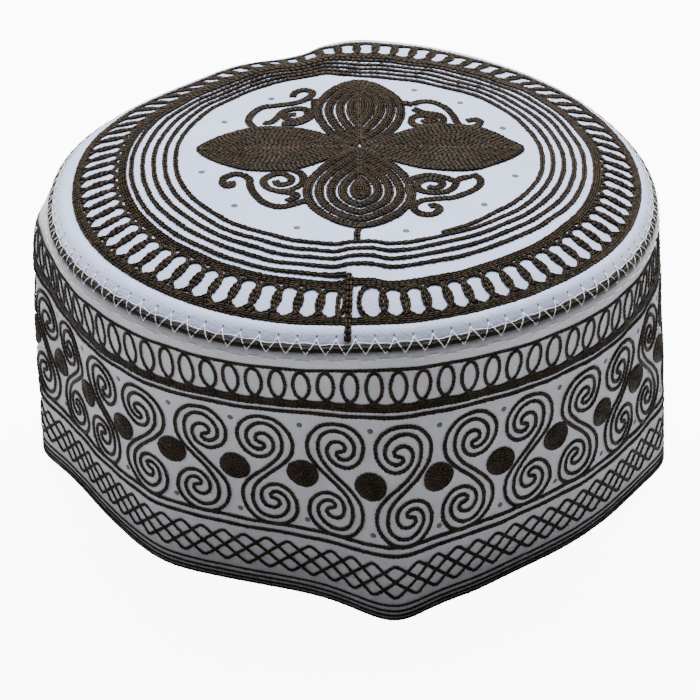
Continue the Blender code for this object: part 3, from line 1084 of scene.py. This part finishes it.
def lay_line(face, line, lift):
    """Points in space above a line of the cloth pattern; lift is one height or one for each point."""
    line = np.asarray(line, float)
    lift = lift + np.zeros(len(line))
    passed = passed_lengths(line)
    dense = np.unique(np.concatenate((np.arange(0.0, passed[-1], THREAD_STEP), passed)))
    flat = points_at(dense, passed, line)
    normals = face_normals(face, flat[:, 0], flat[:, 1])
    return face(flat[:, 0], flat[:, 1]) + normals * np.interp(dense, passed, lift)[:, None]


def wavy(along, level, waves):
    """A level with small waves along the strip."""
    for reach, rate in waves:
        level = level + reach * np.sin(along * rate)
    return level


def seam_path():
    """The dark cord along the seam, half sunk between crown and band."""
    along = strip_places(SEAM_STEP)
    line = np.stack((along, wavy(along, SEAM_ROW, SEAM_ROW_WAVES)), -1)
    return [lay_line(seam_face, line, wavy(along, SEAM_LIFT, SEAM_LIFT_WAVES))]


def zigzag_paths():
    """The white zigzag over the seam, which dips into the cloth at its tips."""
    line = zigzag_line()
    paths = []
    for start, end in zip(line, line[1:]):
        share = np.linspace(0.0, 1.0, ZIGZAG_SAMPLES)
        piece = start + (end - start) * share[:, None]
        arch = np.sin(math.pi * np.clip(share, ZIGZAG_TIP, 1.0 - ZIGZAG_TIP)) ** ZIGZAG_LIFT_POWER
        paths.append(lay_line(seam_face, piece, ZIGZAG_LIFT * arch - ZIGZAG_SINK))
    return paths


def running_paths():
    """Dashes of the white running stitches below the seam, and the line above it."""
    paths = []
    count = int(STRIP_LENGTH / RUNNING_STEP)
    step = STRIP_LENGTH / count
    for index in range(count):
        offset = RUNNING_OFFSETS[index % 2]
        start = step * index
        end = start + DASH_END * step
        places = (start, start + DASH_SLOPE, start + DASH_MIDDLE * step, end - DASH_SLOPE, end)
        paths.append(lay_line(seam_face, [(place, offset) for place in places], DASH_LIFTS))
    along = strip_places(SEAM_STEP)
    line = np.stack((along, wavy(along, WHITE_LINE_OFFSET, WHITE_LINE_WAVES)), -1)
    paths.append(lay_line(seam_face, line, WHITE_LINE_LIFT))
    return paths


def hole_arrays(places, radius):
    """Small sunken holes: places are points and their normals in space."""
    points = []
    triangles = []
    base = 0
    sides = EYELET_SIDES
    turn = 2.0 * math.pi * np.arange(sides) / sides
    for point, normal in places:
        side = np.cross(normal, np.array(EYELET_SIDE))
        side = side / np.linalg.norm(side)
        up = np.cross(normal, side)
        circle = np.cos(turn)[:, None] * side + np.sin(turn)[:, None] * up
        points += [point + normal * height + circle * radius * share for height, share in EYELET_RINGS]
        points.append((point + normal * EYELET_MIDDLE)[None])
        for k in range(len(EYELET_RINGS) - 1):
            triangles += ring_triangles(base + k * sides, base + (k + 1) * sides, sides)
        tip = base + len(EYELET_RINGS) * sides
        triangles.append(fan(tip, tip - sides, sides))
        base = tip + 1
    return np.vstack(points), np.vstack(triangles)


def crown_holes():
    """Places of the crown's eyelets, in the cloth pattern."""
    return polar_line(np.array(CROWN_EYELET_ANGLES), CROWN_EYELET_REACH)


def band_holes():
    """Places of the band's eyelets, above and below the dots."""
    step = STRIP_LENGTH / SCROLL_COUNT
    along = DOT_FIRST + step * np.arange(SCROLL_COUNT)
    return np.vstack([np.stack((along + shift, z + 0.0 * along), -1) for shift, z in BAND_EYELETS])


def needle_holes():
    """Tiny holes at the upper tips of the zigzag."""
    line = zigzag_line()[:-1:2]
    return line + np.array((0.0, NEEDLE_SHIFT))


def holes_piece(name, groups):
    """Sunken holes: each group is a face, its places and the radius of its holes."""
    points = []
    triangles = []
    for face, places, radius in groups:
        centres = face(places[:, 0], places[:, 1])
        normals = face_normals(face, places[:, 0], places[:, 1])
        group_points, group_triangles = hole_arrays(list(zip(centres, normals)), radius)
        triangles.append(group_triangles + sum(len(part) for part in points))
        points.append(group_points)
    return add_mesh(name, np.vstack(points), triangles=np.vstack(triangles))


# Materials

# Scales of the noises, for each metre
TWILL_RIBS = 300.0
BAND_RIBS = 260.0
TWILL_THREADS = 2400.0
TWILL_FUZZ = 700.0
CLOTH_PATCHES = 38.0
CLOTH_WRINKLES = 220.0
OLIVE_FLECKS = 330.0
RED_FLECKS = 260.0
# Light flecks: painted highlights on the threads, at random places
PAINTED_HIGHLIGHT_FLECKS = 1300.0
THREAD_FIBRES = 4200.0
# Shift in metres that keeps the reddish flecks apart from the olive ones
FLECK_SHIFT = (0.31, 0.17, 0.23)
# Ranges of a noise that are spread over 0 to 1
NOISE_RANGE = (0.3, 0.7)
OLIVE_RANGE = (0.5, 0.68)
RED_RANGE = (0.52, 0.7)
# Range of the light flecks, which are painted highlights
PAINTED_HIGHLIGHT_RANGE = (0.5, 0.75)
# Weights in the twill's relief and in the cloth's tone
RIB_WEIGHT = 0.12
THREAD_WEIGHT = 0.7
FUZZ_WEIGHT = 0.6
WRINKLE_WEIGHT = 1.6
PATCH_SHARE = 0.6
TONE_SHARE = 0.4
# Smoothest and roughest places
CLOTH_ROUGHNESS = (0.72, 0.86)
THREAD_ROUGHNESS = (0.45, 0.65)
# Relief in metres
CROWN_RELIEF = 0.0005
BAND_RELIEF = 0.0006
EYELET_RELIEF = 0.0003
FIBRE_RELIEF = 0.00012

# Linear colours of the cloths: the fuller patches and the dimmer ones
CROWN_COLOURS = ((0.44, 0.50, 0.70, 1.0), (0.37, 0.425, 0.60, 1.0))
BAND_COLOURS = ((0.56, 0.575, 0.63, 1.0), (0.45, 0.465, 0.51, 1.0))
# Painted shade of the holes: dark colours of the eyelets and needle holes stand for the shadow inside them
CROWN_HOLE_SHADE_COLOURS = ((0.08, 0.092, 0.105, 1.0), (0.03, 0.037, 0.045, 1.0))
BAND_HOLE_SHADE_COLOURS = ((0.13, 0.15, 0.16, 1.0), (0.05, 0.06, 0.06, 1.0))
# Linear colours of the threads: body, olive flecks, red flecks, and light flecks that are painted highlights
CROWN_THREAD_AND_HIGHLIGHT_COLOURS = (
    (0.008, 0.0042, 0.0015, 1.0), (0.015, 0.013, 0.003, 1.0),
    (0.020, 0.0075, 0.0045, 1.0), (0.10, 0.066, 0.034, 1.0),
)
# The band's thread is the crown's thread painted lighter: painted light that makes up for the dimmer light
# on the band. Its light flecks are painted highlights
BAND_THREAD_LIGHTENED_AND_HIGHLIGHT_COLOURS = (
    (0.013, 0.008, 0.004, 1.0), (0.026, 0.023, 0.007, 1.0),
    (0.036, 0.014, 0.010, 1.0), (0.10, 0.066, 0.038, 1.0),
)
CORD_AND_HIGHLIGHT_COLOURS = (
    (0.006, 0.004, 0.003, 1.0), (0.010, 0.009, 0.005, 1.0),
    (0.013, 0.006, 0.005, 1.0), (0.05, 0.04, 0.03, 1.0),
)
WHITE_THREAD_AND_HIGHLIGHT_COLOURS = (
    (0.82, 0.82, 0.80, 1.0), (0.76, 0.77, 0.74, 1.0),
    (0.80, 0.77, 0.75, 1.0), (0.9, 0.9, 0.9, 1.0),
)

# Sockets of the mix node that carry colours
MIX_FIRST = 6
MIX_SECOND = 7
MIX_RESULT = 2


def new_group(name, inputs, outputs):
    """A shader node group: inputs are names, kinds and values, outputs are numbers."""
    group = bpy.data.node_groups.new(name, "ShaderNodeTree")
    for label, kind, value in inputs:
        socket = group.interface.new_socket(label, in_out="INPUT", socket_type=kind)
        socket.default_value = value
    for label in outputs:
        group.interface.new_socket(label, in_out="OUTPUT", socket_type="NodeSocketFloat")
    start = group.nodes.new("NodeGroupInput")
    end = group.nodes.new("NodeGroupOutput")
    return group, start, end


def set_inputs(tree, node, values):
    """Give a node's inputs, by name or number, plain values or another node's outputs."""
    for label, value in values:
        if isinstance(value, bpy.types.NodeSocket):
            tree.links.new(value, node.inputs[label])
        else:
            node.inputs[label].default_value = value


def add_node(tree, kind, values=(), **settings):
    """A node with its settings and inputs."""
    node = tree.nodes.new(kind)
    for label, value in settings.items():
        setattr(node, label, value)
    set_inputs(tree, node, values)
    return node


def math_node(tree, operation, first, second):
    """A sum, product or other reckoning of two values."""
    return add_node(tree, "ShaderNodeMath", ((0, first), (1, second)), operation=operation).outputs[0]


def weighted_sum(tree, parts):
    """Sum of values, each times its weight."""
    total = None
    for value, weight in parts:
        part = math_node(tree, "MULTIPLY", value, weight)
        total = part if total is None else math_node(tree, "ADD", total, part)
    return total


def mix_colour(tree, share, first, second):
    """A colour between two others."""
    values = ((0, share), (MIX_FIRST, first), (MIX_SECOND, second))
    return add_node(tree, "ShaderNodeMix", values, data_type="RGBA").outputs[MIX_RESULT]


def map_range(tree, value, low, high, to_low=0.0, to_high=1.0):
    """A value spread from one range over another."""
    values = ((0, value), (1, low), (2, high), (3, to_low), (4, to_high))
    return add_node(tree, "ShaderNodeMapRange", values).outputs[0]


def noise_node(tree, place, scale, detail, roughness):
    """Soft noise at a scale for each metre."""
    values = (("Vector", place), ("Scale", scale), ("Detail", detail), ("Roughness", roughness))
    return add_node(tree, "ShaderNodeTexNoise", values).outputs[0]


def weave_group():
    """Fine twill: a height with diagonal ribs and broken threads, and a tone."""
    group, start, end = new_group(
        "cotton_twill",
        (("Place", "NodeSocketVector", (0.0, 0.0, 0.0)), ("Rib Scale", "NodeSocketFloat", TWILL_RIBS)),
        ("Height", "Tone"),
    )
    place = start.outputs["Place"]
    scale = start.outputs["Rib Scale"]
    ribs = add_node(
        group, "ShaderNodeTexWave",
        (("Vector", place), ("Scale", scale), ("Distortion", 1.2), ("Detail", 2.0), ("Detail Scale", 3.0)),
        bands_direction="DIAGONAL",
    ).outputs[1]
    threads = noise_node(group, place, TWILL_THREADS, 2.0, 0.6)
    fuzz = noise_node(group, place, TWILL_FUZZ, 3.0, 0.6)
    height = weighted_sum(group, ((ribs, RIB_WEIGHT), (threads, THREAD_WEIGHT), (fuzz, FUZZ_WEIGHT)))
    set_inputs(group, end, (("Height", height), ("Tone", map_range(group, fuzz, *NOISE_RANGE))))
    return group


def mottle_group():
    """Soft uneven tone of handled cloth: wide patches and small wrinkles."""
    group, start, end = new_group(
        "soft_mottle",
        (("Place", "NodeSocketVector", (0.0, 0.0, 0.0)), ("Patch Scale", "NodeSocketFloat", CLOTH_PATCHES)),
        ("Patches", "Wrinkles"),
    )
    place = start.outputs["Place"]
    patches = noise_node(group, place, start.outputs["Patch Scale"], 4.0, 0.55)
    wrinkles = noise_node(group, place, CLOTH_WRINKLES, 3.0, 0.55)
    set_inputs(group, end, (("Patches", map_range(group, patches, *NOISE_RANGE)), ("Wrinkles", wrinkles)))
    return group


def fleck_group():
    """Glossy embroidery thread: olive and reddish flecks, light flecks that are painted highlights, and fine
    fibres.
    """
    group, start, end = new_group(
        "thread_flecks_and_painted_highlights",
        (("Place", "NodeSocketVector", (0.0, 0.0, 0.0)),),
        ("Olive", "Red", "Light", "Fibres"),
    )
    place = start.outputs["Place"]
    olive = noise_node(group, place, OLIVE_FLECKS, 1.0, 0.5)
    moved = add_node(group, "ShaderNodeVectorMath", ((0, place), (1, FLECK_SHIFT))).outputs[0]
    red = noise_node(group, moved, RED_FLECKS, 1.0, 0.5)
    # The light flecks are painted highlights
    light = noise_node(group, moved, PAINTED_HIGHLIGHT_FLECKS, 2.0, 0.6)
    fibres = noise_node(group, place, THREAD_FIBRES, 2.0, 0.6)
    set_inputs(group, end, (
        ("Olive", map_range(group, olive, *OLIVE_RANGE)),
        ("Red", map_range(group, red, *RED_RANGE)),
        ("Light", map_range(group, light, *PAINTED_HIGHLIGHT_RANGE)),
        ("Fibres", fibres),
    ))
    return group


WEAVE = weave_group()
MOTTLE = mottle_group()
FLECKS = fleck_group()


def new_material(name):
    """A material with its node tree, its shader and the place on the piece."""
    material = bpy.data.materials.new(name)
    material.use_nodes = True
    tree = material.node_tree
    shader = tree.nodes["Principled BSDF"]
    place = tree.nodes.new("ShaderNodeTexCoord").outputs["Object"]
    return material, tree, shader, place


def cloth_material(name, colours, rib_scale, relief):
    """Cotton twill with soft patches, fine threads and small wrinkles."""
    material, tree, shader, place = new_material(name)
    cotton = add_node(
        tree, "ShaderNodeGroup", node_tree=WEAVE,
        values=(("Place", place), ("Rib Scale", rib_scale))).outputs
    handled = add_node(
        tree, "ShaderNodeGroup", node_tree=MOTTLE,
        values=(("Place", place), ("Patch Scale", CLOTH_PATCHES))).outputs
    share = weighted_sum(tree, ((handled["Patches"], PATCH_SHARE), (cotton["Tone"], TONE_SHARE)))
    wrinkles = math_node(tree, "MULTIPLY", handled["Wrinkles"], WRINKLE_WEIGHT)
    height = math_node(tree, "ADD", wrinkles, cotton["Height"])
    bump = add_node(tree, "ShaderNodeBump", (("Strength", 0.35), ("Distance", relief), ("Height", height)))
    set_inputs(tree, shader, (
        ("Base Color", mix_colour(tree, share, *colours)),
        ("Roughness", map_range(tree, handled["Patches"], 0.0, 1.0, *CLOTH_ROUGHNESS)),
        ("Normal", bump.outputs[0]),
        ("Sheen Weight", 0.15), ("Sheen Roughness", 0.6), ("Specular IOR Level", 0.3),
    ))
    return material


def thread_material(name, colours, painted_highlight_share, gloss):
    """Satin thread with flecks of colour, and light flecks that are painted highlights."""
    material, tree, shader, place = new_material(name)
    # light is the colour of the painted highlights
    body, olive, red, light = colours
    fleck = add_node(tree, "ShaderNodeGroup", node_tree=FLECKS, values=(("Place", place),)).outputs
    colour = mix_colour(tree, fleck["Olive"], body, olive)
    colour = mix_colour(tree, fleck["Red"], colour, red)
    # Mix in the painted highlights: the light flecks
    colour = mix_colour(tree, math_node(tree, "MULTIPLY", fleck["Light"], painted_highlight_share), colour, light)
    bump = add_node(
        tree, "ShaderNodeBump",
        (("Strength", 0.5), ("Distance", FIBRE_RELIEF), ("Height", fleck["Fibres"])),
    )
    set_inputs(tree, shader, (
        ("Base Color", colour),
        ("Roughness", map_range(tree, fleck["Fibres"], *NOISE_RANGE, *THREAD_ROUGHNESS)),
        ("Normal", bump.outputs[0]),
        ("Specular IOR Level", gloss),
    ))
    return material


CROWN_CLOTH = cloth_material("crown_cotton", CROWN_COLOURS, TWILL_RIBS, CROWN_RELIEF)
BAND_CLOTH = cloth_material("band_cotton", BAND_COLOURS, BAND_RIBS, BAND_RELIEF)
# Each thread's light flecks are painted highlights
CROWN_THREAD = thread_material("crown_brown_thread", CROWN_THREAD_AND_HIGHLIGHT_COLOURS, 0.62, 0.10)
# Painted light: the band's copy of the thread is lighter than the crown's, making up for the band's dimmer
# light
BAND_THREAD_WITH_PAINTED_LIGHT = thread_material("band_thread_with_painted_light", BAND_THREAD_LIGHTENED_AND_HIGHLIGHT_COLOURS, 0.6, 0.2)
CORD_THREAD = thread_material("seam_black_cord", CORD_AND_HIGHLIGHT_COLOURS, 0.4, 0.1)
WHITE_THREAD = thread_material("white_sewing_thread", WHITE_THREAD_AND_HIGHLIGHT_COLOURS, 0.5, 0.25)
# Painted shade: dark cloth for the eyelets and needle holes, which stands for the shadow inside them
CROWN_HOLES_PAINTED_SHADE = cloth_material("crown_eyelet_shadow", CROWN_HOLE_SHADE_COLOURS, TWILL_RIBS, EYELET_RELIEF)
BAND_HOLES_PAINTED_SHADE = cloth_material("eyelet_shadow", BAND_HOLE_SHADE_COLOURS, TWILL_RIBS, EYELET_RELIEF)


# Pieces of the cap

FIRST_PETAL_SEED = 20


def dark_chain(name, face, lines, pitch, width, seed, material, nodes=()):
    """A piece of chain stitches along lines of the cloth pattern."""
    points, triangles = chain_arrays(face, lines, pitch, width, seed)
    finish_piece(add_mesh(name, points, triangles=triangles), material, nodes)


def crown_chain(name, lines, pitch, width, seed, nodes=()):
    """A piece of dark stitches on the crown."""
    dark_chain(name, disc_face, lines, pitch, width, seed, CROWN_THREAD, nodes)


def band_chain(name, lines, width, seed):
    """A piece of dark stitches on the band, whose thread is painted lighter than the crown's to make up for
    the band's dimmer light.
    """
    dark_chain(name, strip_face, lines, BAND_PITCH, width, seed, BAND_THREAD_WITH_PAINTED_LIGHT)


def thread_piece(name, paths, radius, material, nodes=()):
    """A piece of plain round thread along paths in space."""
    points, triangles = tube_arrays(paths, radius)
    finish_piece(add_mesh(name, points, triangles=triangles), material, nodes)


finish_piece(shell_piece("crown_cloth", crown_shell(), False), CROWN_CLOTH, ("crown",))
finish_piece(shell_piece("band_cloth", band_shell(), True), BAND_CLOTH, ("band",))

crown_chain("ring_stitches", [ring_line()], RING_PITCH, RING_WIDTH, seed=11)
crown_chain("tail_stitches", [tail_line()], RING_PITCH, TAIL_WIDTH, seed=12)
crown_chain("ladder_stitches", ladder_lines(), LADDER_PITCH, LADDER_WIDTH, seed=13, nodes=("ladder_ring",))
crown_chain("tendril_stitches", tendril_lines(), PETAL_PITCH, TENDRIL_WIDTH, seed=14)
crown_chain("stem_stitches", [smooth_line(STEM)], RING_PITCH, TAIL_WIDTH, seed=15)
for number, petal in enumerate(PETALS):
    crown_chain(petal[0] + "_stitches", petal_rows(*petal), PETAL_PITCH, PETAL_WIDTH,
                seed=FIRST_PETAL_SEED + number, nodes=(petal[0],))

thread_piece("seam_cord", seam_path(), SEAM_RADIUS, CORD_THREAD, ("seam_thread",))
band_chain("oval_stitches", [band_line(EDGE_LINE), oval_line()], OVAL_WIDTH, seed=31)
band_chain("band_line_stitches",
           [band_line(z) for z in THICK_LINES + (SCROLL_TOP_LINE,) + SCROLL_LOW_LINES],
           BAND_WIDTH, seed=32)
band_chain("scroll_stitches", scroll_lines(), BAND_WIDTH, seed=33)
band_chain("dot_stitches", dot_lines(), BAND_WIDTH, seed=34)
band_chain("lattice_stitches", lattice_lines(), LATTICE_WIDTH, seed=35)
band_chain("hem_stitches", [band_line(z) for z in HEM_LINES], HEM_WIDTH, seed=36)

thread_piece("zigzag_thread", zigzag_paths(), THREAD_RADIUS, WHITE_THREAD)
thread_piece("running_thread", running_paths(), THREAD_RADIUS, WHITE_THREAD)

crown_groups = (
    (disc_face, crown_holes(), CROWN_EYELET_RADIUS),
    (seam_face, needle_holes(), NEEDLE_RADIUS),
)
band_groups = ((strip_face, band_holes(), BAND_EYELET_RADIUS),)
# The holes carry painted shade
finish_piece(holes_piece("crown_eyelets", crown_groups), CROWN_HOLES_PAINTED_SHADE)
finish_piece(holes_piece("band_eyelets", band_groups), BAND_HOLES_PAINTED_SHADE)


# Floor, lights and camera

FLOOR_SIZE = 6.0
FLOOR_COLOUR = (0.60, 0.60, 0.60, 1.0)
FLOOR_SHADE = (0.57, 0.57, 0.57, 1.0)
SEEN_WHITE = 9.0
WORLD_STRENGTH = 0.12
CAMERA_PLACE = (0.00329, -0.69699, 0.46182)
CAMERA_TILT = 58.35
CAMERA_TURN = 0.254
CAMERA_ROLL = -0.30
CAMERA_LENS = 138.65
CAMERA_SENSOR = 36.0
CAMERA_NEAR = 0.01
CAMERA_FAR = 20.0
FLOOR_GRAIN = 30.0
WHITE = (1.0, 1.0, 1.0, 1.0)
LIGHT_TARGET = (0.0, 0.0, 0.05)
LIGHTS = (
    # name, place and size in metres, power in watts
    ("overhead_softbox", (0.05, 0.75, 1.5), 1.3, 110.0),
    ("left_softbox", (-1.1, -0.2, 0.9), 0.7, 3.0),
)


def add_floor():
    """A pale matt floor that the camera sees as white."""
    half = FLOOR_SIZE / 2.0 / MM
    points = np.array(((-half, -half, 0.0), (half, -half, 0.0), (half, half, 0.0), (-half, half, 0.0)))
    floor = add_mesh("floor", points, quads=((0, 1, 2, 3),), smooth=False)
    material, tree, shader, place = new_material("pale_floor")
    grain = noise_node(tree, place, FLOOR_GRAIN, 3.0, 0.5)
    seen = tree.nodes.new("ShaderNodeLightPath").outputs["Is Camera Ray"]
    set_inputs(tree, shader, (
        ("Base Color", mix_colour(tree, map_range(tree, grain, *NOISE_RANGE), FLOOR_COLOUR, FLOOR_SHADE)),
        ("Emission Strength", math_node(tree, "MULTIPLY", seen, SEEN_WHITE)),
        ("Emission Color", WHITE), ("Roughness", 0.9), ("Specular IOR Level", 0.2),
    ))
    floor.data.materials.append(material)


def add_light(name, place, size, power):
    """A round soft light that looks at the cap."""
    light = bpy.data.lights.new(name, "AREA")
    light.shape = "DISK"
    light.size = size
    light.energy = power
    lamp = bpy.data.objects.new(name, light)
    lamp.location = place
    lamp.rotation_euler = (Vector(LIGHT_TARGET) - Vector(place)).to_track_quat("-Z", "Y").to_euler()
    bpy.context.scene.collection.objects.link(lamp)


def add_world():
    """A dim white sky that the camera sees as white."""
    world = bpy.data.worlds.new("studio")
    world.use_nodes = True
    sky = world.node_tree.nodes["Background"]
    seen = world.node_tree.nodes.new("ShaderNodeLightPath").outputs["Is Camera Ray"]
    strength = map_range(world.node_tree, seen, 0.0, 1.0, WORLD_STRENGTH, SEEN_WHITE)
    set_inputs(world.node_tree, sky, (("Color", WHITE), ("Strength", strength)))
    bpy.context.scene.world = world


def add_camera():
    """The camera at the photograph's place, in metres and degrees."""
    camera = bpy.data.cameras.new("camera")
    camera.lens = CAMERA_LENS
    camera.sensor_width = CAMERA_SENSOR
    camera.clip_start = CAMERA_NEAR
    camera.clip_end = CAMERA_FAR
    holder = bpy.data.objects.new("camera", camera)
    turn = Matrix.Rotation(math.radians(CAMERA_TURN), 4, "Z")
    tilt = Matrix.Rotation(math.radians(CAMERA_TILT), 4, "X")
    roll = Matrix.Rotation(math.radians(CAMERA_ROLL), 4, "Z")
    holder.matrix_world = Matrix.Translation(CAMERA_PLACE) @ turn @ tilt @ roll
    bpy.context.scene.collection.objects.link(holder)
    bpy.context.scene.camera = holder


add_floor()
add_world()
for light_values in LIGHTS:
    add_light(*light_values)
add_camera()
